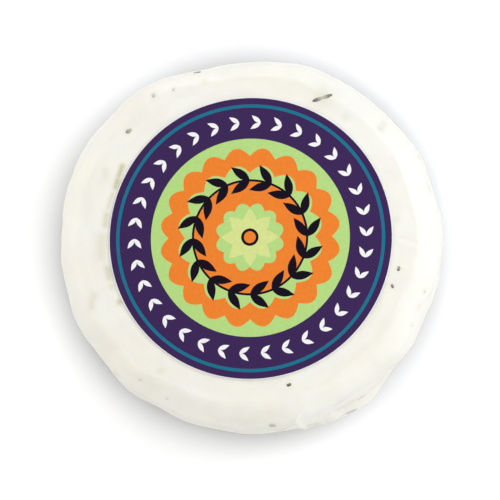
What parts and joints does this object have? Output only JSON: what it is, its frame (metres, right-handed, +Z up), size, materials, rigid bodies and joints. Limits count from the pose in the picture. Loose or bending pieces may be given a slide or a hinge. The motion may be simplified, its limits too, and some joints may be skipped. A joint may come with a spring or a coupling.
{
  "type": "goat cheese round",
  "caption": "Flat round of fresh white goat cheese flecked with herbs, sealed in tight clear film with a folded lip low on the side and a round paper label on top.",
  "frame": {"origin": "middle of the flat base, at its underside", "axes": "+Z up through the round, +Y towards the top of the label as it is read, +X to the label's right"},
  "size_m": [0.0767, 0.0746, 0.026],
  "materials": {
    "cheese": "fresh white cheese, fine grained and slightly mottled, seen through film",
    "herbs": "dried green herb flakes",
    "film": "tight clear film with fine pleats",
    "label": "satin printed paper"
  },
  "bodies": {
    "root": {"wrapped_cheese": "cheese", "label": "label"}
  },
  "joints": []
}
